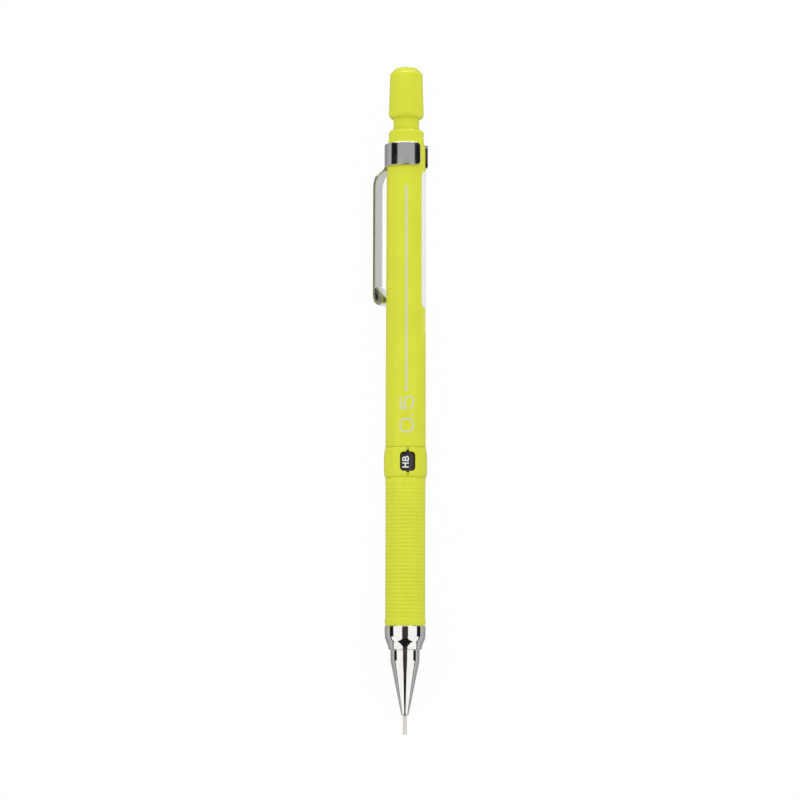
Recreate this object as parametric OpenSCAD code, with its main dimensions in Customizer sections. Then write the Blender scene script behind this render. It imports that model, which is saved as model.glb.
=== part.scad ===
// Push-button drafting pencil for fine leads, with a fixed guide pipe, a ribbed grip,
// a turning lead-grade ring and a spring-steel clip.
// It lies along X: the writing tip is the origin, +X runs to the push cap, and +Z is up.
// The printed side and the window of the grade ring face up.

/* [Lead and guide pipe] */
// Diameter of the lead
lead_d = 0.56; // [0.35:0.01:0.75]
// Length of one stick of lead
lead_len = 60; // [45:1:75]
// Number of spare leads in the tank
spare_count = 3; // [1:1:4]
// Length of the guide pipe in front of the tip cone
pipe_len = 4.0; // [3:0.1:5]
// Wall of the guide pipe
pipe_wall = 0.14; // [0.12:0.01:0.17]
// Depth of the guide pipe's thicker root in the tip cone
pipe_seat_len = 3.5; // [2.8:0.1:4.2]
// Thickness added to the wall of that root
pipe_root_step = 0.17; // [0.16:0.01:0.2]

/* [Tip cone] */
// Diameter of the cone's nose
nose_d = 1.64; // [1.4:0.02:2]
// Length of the straight cone
cone_len = 11.5; // [10.5:0.1:14]
// Diameter at the cone's base
cone_base_d = 6.24; // [5.2:0.02:7.4]
// Length of the cylinder behind the cone
base_len = 2.3; // [1.9:0.1:2.8]
// Length of the bell between the cylinder and the grip
bell_len = 5.1; // [4.2:0.1:6.2]
// Largest diameter of the bell
bell_d = 8.72; // [7.6:0.02:10]
// Length of the screw that holds the cone in the barrel, drawn as a plain cylinder
screw_len = 5.4; // [4.5:0.1:6.5]

/* [Barrel] */
// Length of the barrel with its grip
barrel_len = 106.5; // [88:0.1:128]
// Diameter of the barrel behind the grade ring
barrel_d = 8.68; // [7.3:0.02:10.4]
// Loss of diameter from the grade ring to the clip's band
barrel_taper = 0.28; // [0.2:0.02:0.36]
// Wall between the screw's socket and the surface
socket_wall = 1.0; // [0.9:0.02:1.2]
// Length of the grip from its front face to the grade ring
grip_len = 31.4; // [26:0.1:37.7]
// Distance between two ribs of the grip
rib_pitch = 0.82; // [0.7:0.01:1]
// Depth of the grooves between the ribs
rib_depth = 0.15; // [0.1:0.01:0.18]
// Step down from the clip's seat to the collar at the barrel's rear
collar_step = 0.55; // [0.46:0.01:0.66]
// Length of the collar behind the clip's band
collar_len = 3.3; // [2.8:0.1:4]

/* [Grade ring] */
// Length of the turning grade ring
ring_len = 6.8; // [5.7:0.1:8.1]
// Height of the grade ring above the barrel
ring_rise = 0.38; // [0.32:0.01:0.46]
// Wall of the grade ring
ring_wall = 0.64; // [0.55:0.01:0.75]
// Width of the window across the barrel
window_w = 3.2; // [2.7:0.1:3.8]
// Length of the window along the barrel
window_len = 4.1; // [3.4:0.1:4.6]
// Width of the slit that lets the ring snap on
slit_w = 0.77; // [0.64:0.01:0.92]
// Direction of the window, turned about X from straight up
window_turn = -6; // [-30:1:30]

/* [Clip] */
// Length of the clip's band along the barrel
band_len = 4.9; // [4.1:0.1:5.8]
// Thickness of the clip's sheet
clip_t = 0.50; // [0.42:0.01:0.6]
// Arc of the gap in the clip's band
band_gap_angle = 36; // [30:1:43]
// Direction of that gap, turned about X from straight up
band_gap_turn = -60; // [-70:1:-50]
// Length of the clip's arm in front of the band
arm_len = 29.7; // [25:0.1:35]
// Width of the clip's arm
arm_w = 4.2; // [3.5:0.1:5]
// Space between the arm and the barrel
arm_gap = 2.1; // [1.8:0.05:2.5]
// Direction of the clip, turned about X from straight up
clip_turn = 112; // [90:1:130]

/* [Side label] */
// Length of the blank label
label_len = 29.5; // [24:0.1:35]
// Arc that the label wraps
label_angle = 133; // [110:1:150]
// Direction of the label's middle, turned about X from straight up
label_turn = -118; // [-130:1:-110]
// Thickness of the label
label_t = 0.09; // [0.07:0.01:0.12]

/* [Push cap and eraser] */
// Thickness of the push cap's top
cap_top = 1.6; // [1.3:0.1:2]
// Diameter of the push cap at its mouth
cap_mouth_d = 7.58; // [6.9:0.02:9]
// Diameter of the push cap at its top
cap_top_d = 7.10; // [6.4:0.02:8.5]
// Gap left between the barrel and the push cap at the end of the push
cap_gap = 0.4; // [0.33:0.01:0.48]
// Travel of the push button
knock_travel = 2.4; // [2:0.02:2.88]
// Wall of the eraser holder around the eraser
holder_wall = 0.62; // [0.52:0.01:0.74]
// Length of the holder's neck inside the push cap
neck_len = 5.0; // [4.2:0.1:6]
// Length of the eraser that stands out of its holder
eraser_out = 3.8; // [3.1:0.1:4.6]

/* [Mechanism] */
// Diameter of the chuck's stem
stem_d = 1.9; // [1.6:0.02:2.28]
// Diameter of the chuck's head
head_d = 2.7; // [2.3:0.02:3.2]
// Length of the chuck's jaws
jaw_len = 6.9; // [6.2:0.1:7.7]
// Width of the slits between the jaws
jaw_slit = 0.16; // [0.1:0.01:0.2]
// Half angle of the chuck's cone
chuck_angle = 10; // [9:0.5:12]
// Opening of each jaw at the end of the push
jaw_open = 1.2; // [1:0.1:1.3]
// Length of the chuck ring
chuck_ring_len = 2.2; // [1.9:0.1:2.5]
// Wall of the chuck ring at its front
chuck_ring_wall = 0.36; // [0.3:0.01:0.42]
// Travel of the chuck ring, which is the lead fed by one push
ring_travel = 0.5; // [0.4:0.02:0.6]
// Wall of the chuck sleeve
sleeve_wall = 0.42; // [0.36:0.01:0.48]
// Wire of the return spring
spring_wire = 0.25; // [0.2:0.01:0.3]
// Length of the return spring at rest
spring_len = 15.9; // [13.5:0.1:19]
// Turns of the return spring
spring_turns = 16; // [12:1:20]
// Wall of the lead tank
tank_wall = 0.55; // [0.46:0.01:0.66]
// Diameter of the rubber lead retainer
retainer_d = 2.0; // [1.7:0.02:2.2]
// Length of the rubber lead retainer
retainer_len = 2.6; // [2.2:0.1:3]

/* [Clearances] */
// Radial clearance between pieces that turn or slide
run_fit = 0.05; // [0.03:0.01:0.08]
// Radial clearance between pieces that are pushed together
seat_fit = 0.01; // [0.01:0.005:0.02]
// End clearance between pieces that stop against each other
end_fit = 0.05; // [0.03:0.01:0.1]

/* [Hidden] */
$fn = 96;

lime = [0.80, 0.86, 0.16];
bright_steel = [0.78, 0.78, 0.79];

// Stations along X, from the writing tip
x_nose = pipe_len;
x_base = x_nose + cone_len;
x_step = x_base + base_len;
x_grip = x_step + bell_len;
x_screw_end = x_grip + screw_len;
x_ring_0 = x_grip + grip_len;
x_ring_1 = x_ring_0 + ring_len;
x_tail = x_grip + barrel_len;
x_band_1 = x_tail - collar_len;
x_band_0 = x_band_1 - band_len;
x_cap = x_tail + knock_travel + cap_gap;
x_neck_end = x_cap + neck_len;
x_eraser_end = x_neck_end + eraser_out;
x_cap_floor = x_eraser_end + 0.4;
x_end = x_cap_floor + cap_top;

// Stations of the mechanism
x_pipe_end = x_nose + pipe_seat_len;
x_retainer = x_pipe_end + 0.5;
x_chamber = x_retainer + retainer_len;
x_chuck = x_chamber + knock_travel + 0.4;
x_chuck_ring = x_chuck + 1.3;
x_ring_stop = x_chuck_ring - ring_travel - end_fit;
x_sleeve = x_chuck_ring + chuck_ring_len + end_fit;
x_jaw_root = x_chuck + jaw_len;
x_spring_0 = x_sleeve + 1.4;
x_spring_1 = x_spring_0 + spring_len;
x_flange_0 = x_screw_end + end_fit;
x_flange_1 = x_flange_0 + 1.5;
x_sleeve_end = max(x_spring_1, x_flange_1) + 3.6;
x_joint_flange = x_sleeve_end + knock_travel + end_fit;
x_tank_0 = x_joint_flange + 1.0;
x_joint_end = x_tank_0 + 3.2;
x_tank_1 = x_tail + 0.4;

// Radii, from the lead outwards
lead_r = lead_d / 2;
pipe_bore_r = lead_r + 0.02;
pipe_r = pipe_bore_r + pipe_wall;
pipe_seat_r = pipe_r + pipe_root_step;
lead_way_r = lead_r + 0.06;
stem_r = stem_d / 2;
head_r = head_d / 2;
cone_rate = tan(chuck_angle);
chuck_cone_len = (head_r - stem_r) / cone_rate;
x_cone_0 = x_chuck + 1.8;
x_cone_1 = x_cone_0 + chuck_cone_len;
chamber_r = head_r + jaw_len * sin(jaw_open) + run_fit;
ring_front_r = head_r + (x_cone_0 - x_chuck_ring) * cone_rate + run_fit / 2;
ring_rear_r = max(ring_front_r - chuck_ring_len * cone_rate, stem_r + run_fit);
x_ring_taper = x_chuck_ring + (ring_front_r - ring_rear_r) / cone_rate;
chuck_ring_r = ring_front_r + chuck_ring_wall;
ring_chamber_r = chuck_ring_r + run_fit;
spring_in_r = ring_rear_r + 0.05;
spring_out_r = spring_in_r + spring_wire;
sleeve_bore_r = spring_out_r + 0.15;
sleeve_r = sleeve_bore_r + sleeve_wall;
tail_bore_r = sleeve_r + run_fit;

// Radii, from the barrel inwards
barrel_r = barrel_d / 2;
barrel_rear_r = (barrel_d - barrel_taper) / 2;
grip_r = barrel_r + 0.01;
band_seat_depth = 0.05;
socket_r = min(barrel_r, bell_d / 2) - socket_wall;
screw_r = socket_r - run_fit;
flange_seat_r = socket_r - 0.15;
flange_r = flange_seat_r - run_fit;
collar_r = barrel_rear_r - band_seat_depth - collar_step;
bore_r = min(flange_seat_r - 0.25, collar_r - 0.7);
neck_r = bore_r - run_fit - 0.02;
tank_r = bore_r - 0.5;
tank_bore_r = tank_r - tank_wall;
eraser_r = neck_r - holder_wall;
lead_bundle_r = tank_bore_r - lead_r - 0.02;
retainer_r = retainer_d / 2;

// Grade ring
ring_seat_r = barrel_r + ring_rise - ring_wall - run_fit;
ring_in_r = ring_seat_r + run_fit;
ring_out_r = barrel_r + ring_rise;
grade_band_0 = x_ring_0 + 1.0;
grade_band_1 = x_ring_1 - 1.0;
grade_band_t = 0.08;

// Clip
band_seat_r = barrel_rear_r - band_seat_depth;
band_in_r = band_seat_r + seat_fit;
band_out_r = band_in_r + clip_t;
arm_rest_gap = 0.25;
hook_r = (arm_gap - arm_rest_gap) / 2;
x_arm_root = x_band_0 - 0.5;
x_arm_tip = x_band_0 - arm_len;
x_hook = x_arm_tip + clip_t / 2 + hook_r;
arm_mid_r = barrel_surface(x_hook) + arm_gap + clip_t / 2;
root_mid_r = band_out_r + 0.03;

// Side label
x_label_1 = x_band_0 - 1.1;
x_label_0 = x_label_1 - label_len;

// Lays a shape that is drawn about Z along X, with its local +X side at the angle turn
module facing(turn = 0) {
    rotate([0, 90, 0])
        rotate([0, 0, 180 - turn])
            children();
}

// Solid of revolution about X from points [x, radius]
module turned(profile) {
    facing()
        rotate_extrude()
            polygon([for (p = profile) [p[1], p[0]]]);
}

// Plain cylinder about X
module rod(x0, x1, r) {
    translate([x0, 0, 0])
        rotate([0, 90, 0])
            cylinder(h = x1 - x0, r = r);
}

// Tube about X
module tube(x0, x1, r_out, r_in) {
    difference() {
        rod(x0, x1, r_out);
        rod(x0 - 1, x1 + 1, r_in);
    }
}

// Points of an arc about [cx, cy]
function arc(cx, cy, r, a0, a1, n) =
    [for (i = [0:n]) [cx + r * cos(a0 + (a1 - a0) * i / n), cy + r * sin(a0 + (a1 - a0) * i / n)]];

// Outline of a strip of thickness t along a centreline
function unit(v) = v / norm(v);
function heading(p, i) = unit(p[min(i + 1, len(p) - 1)] - p[max(i - 1, 0)]);
function side(p, i, d) = p[i] + d * [-heading(p, i)[1], heading(p, i)[0]];
function strip(p, t) = concat(
    [for (i = [0:len(p) - 1]) side(p, i, t / 2)],
    [for (i = [len(p) - 1:-1:0]) side(p, i, -t / 2)]
);

// Radius of the barrel's surface between the grade ring and the clip's band
function barrel_surface(x) =
    barrel_r + (barrel_rear_r - barrel_r) * (x - x_ring_1) / (x_band_0 - x_ring_1);

// Barrel: one moulding with the ribbed grip, the seats of the ring and the clip, and the collar
rib_0 = x_grip + 2.2;
rib_1 = x_ring_0 - 1.8;
rib_count = floor((rib_1 - rib_0) / rib_pitch);
rib_land = 0.5;
rib_flank = (rib_pitch - rib_land) * 0.35;

function rib_points(i) = [
    [rib_0 + i * rib_pitch, grip_r],
    [rib_0 + i * rib_pitch + rib_flank, grip_r - rib_depth],
    [rib_0 + (i + 1) * rib_pitch - rib_land - rib_flank, grip_r - rib_depth],
    [rib_0 + (i + 1) * rib_pitch - rib_land, grip_r]
];

barrel_profile = concat(
    [
        [x_grip, socket_r],
        [x_grip, barrel_r],
        [x_grip + 1.3, barrel_r + 0.08],
        [x_grip + 1.9, barrel_r + 0.06],
        [rib_0 - 0.1, grip_r]
    ],
    [for (i = [0:rib_count - 1]) each rib_points(i)],
    [
        [x_ring_0 - 0.1, grip_r],
        [x_ring_0, grip_r - 0.1],
        [x_ring_0, ring_seat_r],
        [grade_band_0, ring_seat_r],
        [grade_band_0, ring_seat_r - grade_band_t],
        [grade_band_1, ring_seat_r - grade_band_t],
        [grade_band_1, ring_seat_r],
        [x_ring_1, ring_seat_r],
        [x_ring_1, barrel_r - 0.1],
        [x_ring_1 + 0.1, barrel_r],
        [x_band_0 - 0.1, barrel_rear_r],
        [x_band_0 - 0.1, band_seat_r],
        [x_band_1 - 1.3, band_seat_r],
        [x_band_1 - 0.5, band_seat_r - collar_step * 0.12],
        [x_band_1 + 0.1, band_seat_r - collar_step * 0.36],
        [x_band_1 + 0.8, collar_r + collar_step * 0.14],
        [x_band_1 + 1.3, collar_r],
        [x_tail - 0.55, collar_r - 0.08],
        [x_tail - 0.4, collar_r - 0.15],
        [x_tail, collar_r - 0.65],
        [x_tail, bore_r],
        [x_flange_1 + end_fit, bore_r],
        [x_flange_1 + end_fit, flange_seat_r],
        [x_screw_end, flange_seat_r],
        [x_screw_end, socket_r]
    ]
);

module barrel() {
    color(lime)
        turned(barrel_profile);
}

// Grade band: the dark strip with the lead grades, wrapped in its recess under the ring
module grade_band() {
    color([0.08, 0.08, 0.08])
        tube(
            grade_band_0 + seat_fit,
            grade_band_1 - seat_fit,
            ring_seat_r - seat_fit,
            ring_seat_r - grade_band_t + seat_fit
        );
}

// Window ring: a split ring that snaps into the barrel's seat and turns to show one grade
module rounded_outline(w, h, r) {
    square([w - 2 * r, h], center = true);
    square([w, h - 2 * r], center = true);
    for (sx = [-1, 1], sy = [-1, 1])
        translate([sx * (w / 2 - r), sy * (h / 2 - r)])
            circle(r = r);
}

module window_ring() {
    x0 = x_ring_0 + end_fit;
    x1 = x_ring_1 - end_fit;
    middle = (x0 + x1) / 2;
    color(lime)
        difference() {
            turned([
                [x0, ring_in_r],
                [x0, barrel_r - 0.02],
                [x0 + 0.35, barrel_r + ring_rise * 0.66],
                [x0 + 1.1, ring_out_r],
                [x1 - 2.5, ring_out_r],
                [x1 - 1.7, barrel_r + ring_rise * 0.88],
                [x1 - 0.7, barrel_r + ring_rise * 0.5],
                [x1, barrel_r - 0.06],
                [x1, ring_in_r]
            ]);
            facing(window_turn)
                translate([ring_in_r / 2, -slit_w / 2, x0 - 1])
                    cube([ring_out_r, slit_w, ring_len + 2]);
            facing(window_turn)
                translate([ring_in_r / 2, 0, middle])
                    rotate([0, 90, 0])
                        linear_extrude(ring_out_r)
                            rounded_outline(window_len, window_w, 0.9);
        }
}

// Side label: a blank self-adhesive label that follows the barrel's taper
module side_label() {
    color([0.96, 0.96, 0.95])
        facing(label_turn)
            rotate([0, 0, -label_angle / 2])
                rotate_extrude(angle = label_angle)
                    polygon([
                        [barrel_surface(x_label_0) + seat_fit, x_label_0],
                        [barrel_surface(x_label_0) + label_t, x_label_0],
                        [barrel_surface(x_label_1) + label_t, x_label_1],
                        [barrel_surface(x_label_1) + seat_fit, x_label_1]
                    ]);
}

// Clip band: the split band that grips the barrel, with the tab that carries the arm
module clip_band() {
    tab_w = arm_w * 0.66;
    color(bright_steel)
        union() {
            facing(band_gap_turn)
                rotate([0, 0, band_gap_angle / 2])
                    rotate_extrude(angle = 360 - band_gap_angle)
                        translate([band_in_r, x_band_0])
                            square([clip_t, band_len]);
            facing(clip_turn)
                translate([0, tab_w / 2, 0])
                    rotate([90, 0, 0])
                        linear_extrude(tab_w)
                            polygon([
                                [band_out_r - 0.02, x_band_0 + 0.3],
                                [root_mid_r + clip_t / 2, x_arm_root],
                                [root_mid_r - clip_t / 2, x_arm_root],
                                [band_in_r + 0.09, x_band_0 + 0.1],
                                [band_in_r + 0.09, x_band_0 + 0.3]
                            ]);
        }
}

// Clip arm: the sprung strip, with its end rolled into a closed loop that presses on the barrel
arm_path = concat(
    [
        [x_arm_root - 0.02, root_mid_r],
        [x_arm_root - 0.2, root_mid_r],
        [x_arm_root - 0.5, root_mid_r + 0.2],
        [x_arm_root - 2.1, arm_mid_r - 0.45],
        [x_arm_root - 2.5, arm_mid_r - 0.16],
        [x_arm_root - 3.1, arm_mid_r]
    ],
    arc(x_hook, arm_mid_r - hook_r, hook_r, 90, 270, 14),
    [
        [x_hook + 0.9, arm_mid_r - 2 * hook_r + 0.06],
        [x_hook + 1.3, arm_mid_r - 2 * hook_r + 0.3],
        [x_hook + 3.0, arm_mid_r - clip_t - 0.03]
    ]
);

module clip_arm() {
    x_wide = x_arm_root - 2.0;
    color(bright_steel)
        facing(clip_turn)
            intersection() {
                translate([0, arm_w / 2, 0])
                    rotate([90, 0, 0])
                        linear_extrude(arm_w)
                            polygon([for (p = strip(arm_path, clip_t)) [p[1], p[0]]]);
                rotate([0, 90, 0])
                    linear_extrude(arm_mid_r + 2)
                        polygon([
                            [-x_arm_root, -arm_w * 0.33],
                            [-x_wide, -arm_w / 2],
                            [-x_arm_tip + 1, -arm_w / 2],
                            [-x_arm_tip + 1, arm_w / 2],
                            [-x_wide, arm_w / 2],
                            [-x_arm_root, arm_w * 0.33]
                        ]);
            }
}

// Tip cone: turned from bar, with a screw that holds it and the sleeve in the barrel
cone_rise = (cone_base_d - nose_d) / 2;
bell_r = bell_d / 2;

module tip_cone() {
    base_r = cone_base_d / 2;
    shoulder_r = (base_r + bell_r) / 2;
    color(bright_steel)
        difference() {
            turned(concat(
                [[x_nose, 0], [x_nose, nose_d / 2 - 0.2]],
                arc(x_nose + 0.2, nose_d / 2 - 0.2, 0.2, 150, 90, 3),
                [
                    [x_base, base_r],
                    [x_step - 0.08, base_r + 0.02],
                    [x_step, base_r - 0.04],
                    [x_step + 0.08, base_r + 0.1],
                    [x_step + 0.4, base_r + (shoulder_r - base_r) * 0.7],
                    [x_step + 1.2, shoulder_r],
                    [x_step + 2.1, shoulder_r + (bell_r - shoulder_r) * 0.55],
                    [x_step + 3.0, bell_r - 0.05],
                    [x_step + 3.7, bell_r],
                    [x_grip - end_fit, bell_r - 0.03],
                    [x_grip - end_fit, screw_r],
                    [x_screw_end - 0.4, screw_r],
                    [x_screw_end, screw_r - 0.3],
                    [x_screw_end, 0]
                ]
            ));
            rod(x_nose - 1, x_pipe_end, pipe_seat_r + seat_fit);
            rod(x_nose, x_chamber, lead_way_r);
            rod(x_retainer, x_chamber + 0.01, retainer_r + seat_fit);
            rod(x_chamber, x_ring_stop + 0.01, chamber_r);
            rod(x_ring_stop, x_sleeve, ring_chamber_r);
            rod(x_sleeve - 0.5, x_screw_end + 1, tail_bore_r);
        }
}

// Guide pipe: a thin tube with a thicker root that is pressed into the nose
module guide_pipe() {
    color([0.74, 0.73, 0.70])
        difference() {
            union() {
                rod(0, x_nose, pipe_r);
                rod(x_nose, x_pipe_end, pipe_seat_r);
            }
            rod(-1, x_pipe_end + 1, pipe_bore_r);
        }
}

// Lead retainer: a rubber bush that holds the lead while the chuck returns
module lead_retainer() {
    color([0.15, 0.15, 0.15])
        tube(x_retainer, x_chamber - seat_fit, retainer_r, lead_r + 0.015);
}

// Working lead, drawn back into the guide pipe
x_lead = 0.3;
module working_lead() {
    color([0.2, 0.2, 0.22])
        rod(x_lead, x_lead + lead_len, lead_r);
}

// Spare leads, side by side on the floor of the tank
module spare_leads() {
    step = 2 * asin((lead_r + 0.02) / lead_bundle_r);
    color([0.2, 0.2, 0.22])
        for (i = [0:spare_count - 1])
            facing(180 + (i - (spare_count - 1) / 2) * step)
                translate([lead_bundle_r, 0, x_joint_end + 0.5 + i * 1.5])
                    cylinder(h = lead_len, r = lead_r, $fn = 48);
}

// Chuck: three jaws that the ring squeezes on the lead, and the stem that carries them
module chuck_jaw(index) {
    spread = 120;
    color([0.80, 0.66, 0.34])
        facing(index * spread)
            difference() {
                rotate([0, 0, -spread / 2])
                    rotate_extrude(angle = spread)
                        polygon([
                            [lead_r + 0.01, x_chuck],
                            [head_r - 0.25, x_chuck],
                            [head_r, x_chuck + 0.3],
                            [head_r, x_cone_0],
                            [stem_r, x_cone_1],
                            [stem_r, x_jaw_root - seat_fit],
                            [lead_way_r, x_jaw_root - seat_fit],
                            [lead_way_r, x_cone_1],
                            [lead_r + 0.01, x_cone_1 - 0.3]
                        ]);
                for (s = [-1, 1])
                    rotate([0, 0, s * spread / 2])
                        translate([-1, -jaw_slit / 2, x_chuck - 1])
                            cube([head_r + 2, jaw_slit, jaw_len + 2]);
            }
}

module chuck_jaw_1() {
    chuck_jaw(0);
}

module chuck_jaw_2() {
    chuck_jaw(1);
}

module chuck_jaw_3() {
    chuck_jaw(2);
}

module chuck_stem() {
    color([0.80, 0.66, 0.34])
        tube(x_jaw_root, x_spring_1 + 3, stem_r, lead_way_r);
}

// Chuck ring: floats between the cone's stop and the sleeve, and closes the jaws
module chuck_ring() {
    color([0.80, 0.66, 0.34])
        turned([
            [x_chuck_ring, ring_front_r],
            [x_chuck_ring, chuck_ring_r - 0.1],
            [x_chuck_ring + 0.1, chuck_ring_r],
            [x_chuck_ring + chuck_ring_len, chuck_ring_r],
            [x_chuck_ring + chuck_ring_len, ring_rear_r],
            [x_ring_taper, ring_rear_r]
        ]);
}

// Chuck sleeve: guides the stem, holds the spring, and is clamped by its flange
module chuck_sleeve() {
    color([0.88, 0.88, 0.86])
        difference() {
            union() {
                rod(x_sleeve, x_sleeve_end, sleeve_r);
                rod(x_flange_0, x_flange_1, flange_r);
            }
            rod(x_sleeve - 1, x_sleeve_end + 1, ring_rear_r);
            rod(x_spring_0, x_sleeve_end + 1, sleeve_bore_r);
        }
}

// Return spring: a row of turns between the sleeve's floor and the tank joint
module return_spring() {
    mean_r = (spring_in_r + spring_out_r) / 2;
    wire_r = spring_wire / 2;
    spring_pitch = (spring_len - spring_wire - 2 * seat_fit) / spring_turns;
    steps = 12;
    ring_points = [for (k = [0:5]) [cos(k * 60), sin(k * 60)]];
    points = [
        for (i = [0:spring_turns * steps], p = ring_points)
            let (a = i * 360 / steps, r = mean_r + wire_r * p[0])
            [
                x_spring_0 + seat_fit + wire_r + i * spring_pitch / steps + wire_r * p[1],
                r * cos(a),
                r * sin(a)
            ]
    ];
    last = spring_turns * steps;
    faces = concat(
        [[for (k = [0:5]) k]],
        [for (i = [0:last - 1], k = [0:5])
            [i * 6 + k, (i + 1) * 6 + k, (i + 1) * 6 + (k + 1) % 6, i * 6 + (k + 1) % 6]],
        [[for (k = [5:-1:0]) last * 6 + k]]
    );
    color([0.6, 0.6, 0.62])
        polyhedron(points, faces, convexity = 8);
}

// Tank joint: ties the chuck's stem to the lead tank and takes the spring's push
module tank_joint() {
    color([0.88, 0.88, 0.86])
        difference() {
            union() {
                rod(x_spring_1, x_joint_flange + 0.01, sleeve_bore_r - run_fit);
                rod(x_joint_flange, x_tank_0, tank_r);
                rod(x_tank_0, x_joint_end, tank_bore_r - seat_fit);
            }
            rod(x_spring_1 - 1, x_spring_1 + 3 + seat_fit, stem_r + seat_fit);
            rod(x_spring_1, x_joint_end + 1, lead_way_r);
            turned([
                [x_tank_0, 0],
                [x_tank_0, lead_way_r],
                [x_joint_end + 0.01, tank_bore_r - 0.3],
                [x_joint_end + 0.01, 0]
            ]);
        }
}

// Lead tank: the tube that stores the leads and carries the button's push
module lead_tank() {
    color([0.90, 0.91, 0.90])
        tube(x_tank_0, x_tank_1, tank_r, tank_bore_r);
}

// Eraser holder: the sleeve on the tank's end, which shows as the neck under the push cap
module eraser_holder() {
    color(lime)
        difference() {
            rod(x_tank_1 - 6, x_neck_end, neck_r);
            rod(x_tank_1 - 7, x_tank_1 + seat_fit, tank_r + seat_fit);
            rod(x_tank_1, x_neck_end + 1, eraser_r + seat_fit);
        }
}

// Eraser: plugs the tank, and stands out under the push cap
module eraser() {
    color([0.95, 0.95, 0.93])
        turned([
            [x_tank_1 + seat_fit, 0],
            [x_tank_1 + seat_fit, eraser_r],
            [x_eraser_end - 0.3, eraser_r],
            [x_eraser_end, eraser_r - 0.3],
            [x_eraser_end, 0]
        ]);
}

// Push cap: pulls off the holder's neck, and carries the thumb's push
module push_cap() {
    mouth_r = cap_mouth_d / 2;
    top_r = cap_top_d / 2;
    color(lime)
        difference() {
            turned([
                [x_cap, 0],
                [x_cap, mouth_r - 0.25],
                [x_cap + 0.08, mouth_r - 0.08],
                [x_cap + 0.25, mouth_r],
                [x_end - 1.5, top_r],
                [x_end - 1.1, top_r - 0.19],
                [x_end - 0.7, top_r - 0.71],
                [x_end - 0.2, top_r - 1.35],
                [x_end, top_r - 1.85],
                [x_end, 0]
            ]);
            rod(x_cap - 1, x_neck_end + 0.2, neck_r + seat_fit);
            rod(x_cap, x_cap_floor, eraser_r + 0.25);
        }
}

barrel();
grade_band();
window_ring();
side_label();
clip_band();
clip_arm();
tip_cone();
guide_pipe();
lead_retainer();
working_lead();
spare_leads();
chuck_jaw_1();
chuck_jaw_2();
chuck_jaw_3();
chuck_stem();
chuck_ring();
chuck_sleeve();
return_spring();
tank_joint();
lead_tank();
eraser_holder();
eraser();
push_cap();
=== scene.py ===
"""Looks of a push-button lead holder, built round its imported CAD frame.

The holder lies along X with its writing tip at the origin, and its window and print face up (+Z).
Outlines are written in millimetres as (distance along X, radius), and every station along X is
taken from the CAD nodes, so that the visual pieces stay on the frame.
"""

import math

import bmesh
import bpy
from mathutils import Matrix, Vector


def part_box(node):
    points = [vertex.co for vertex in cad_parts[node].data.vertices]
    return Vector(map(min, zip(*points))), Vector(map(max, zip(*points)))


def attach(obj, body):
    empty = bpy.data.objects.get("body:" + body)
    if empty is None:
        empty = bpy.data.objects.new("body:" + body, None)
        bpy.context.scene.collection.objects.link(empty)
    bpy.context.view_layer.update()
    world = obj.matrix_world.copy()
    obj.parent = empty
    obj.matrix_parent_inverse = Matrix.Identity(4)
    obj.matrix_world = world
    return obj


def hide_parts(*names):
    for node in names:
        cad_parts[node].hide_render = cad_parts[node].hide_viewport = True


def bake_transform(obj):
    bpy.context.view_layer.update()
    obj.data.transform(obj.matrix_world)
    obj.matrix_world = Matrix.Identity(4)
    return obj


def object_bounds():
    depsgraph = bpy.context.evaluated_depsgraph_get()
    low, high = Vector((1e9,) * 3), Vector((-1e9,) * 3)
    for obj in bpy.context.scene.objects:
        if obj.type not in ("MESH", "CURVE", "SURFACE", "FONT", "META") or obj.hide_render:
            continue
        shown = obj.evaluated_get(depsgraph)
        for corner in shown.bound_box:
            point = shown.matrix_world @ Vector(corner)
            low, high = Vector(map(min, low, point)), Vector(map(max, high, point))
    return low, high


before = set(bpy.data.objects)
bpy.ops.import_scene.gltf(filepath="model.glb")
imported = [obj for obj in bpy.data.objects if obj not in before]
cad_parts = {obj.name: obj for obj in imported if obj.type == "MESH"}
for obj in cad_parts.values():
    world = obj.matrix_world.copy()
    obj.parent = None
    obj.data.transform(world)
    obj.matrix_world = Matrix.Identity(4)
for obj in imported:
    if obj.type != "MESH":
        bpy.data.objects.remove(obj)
cad_low, cad_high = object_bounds()

MM = 0.001
TURN = 2 * math.pi
SEGMENTS = 160
SHARP_ANGLE = math.radians(32)
WELD = 1e-8

# How much slimmer in radius, shorter or further forward than their CAD nodes these pieces are
# shown, in mm. The pipe's and the barrel's are taken off the node's widest place, the pipe's root
# and a bulge at the barrel's front, so they end up only 0.03 and 0.05 mm slimmer than the CAD.
PIPE_TRIM = 0.2
BARREL_TRIM = 0.13
RING_TRIM = 0.1
RING_SHORTER = 0.3
NECK_TRIM = 0.06
CAP_FORWARD = 0.3

# Gaps between pieces, in mm: pressed or glued ones, and running ones
CLOSE = 0.01
RUNNING = 0.05


# ---------------------------------------------------------------- stations from the CAD frame
def span(node):
    """Where a CAD node starts and ends along X, in mm."""
    low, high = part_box(node)
    return low.x / MM, high.x / MM


def reach(node):
    """Height of a CAD node above the axis, in mm, which is the radius of a round node."""
    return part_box(node)[1].z / MM


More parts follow.
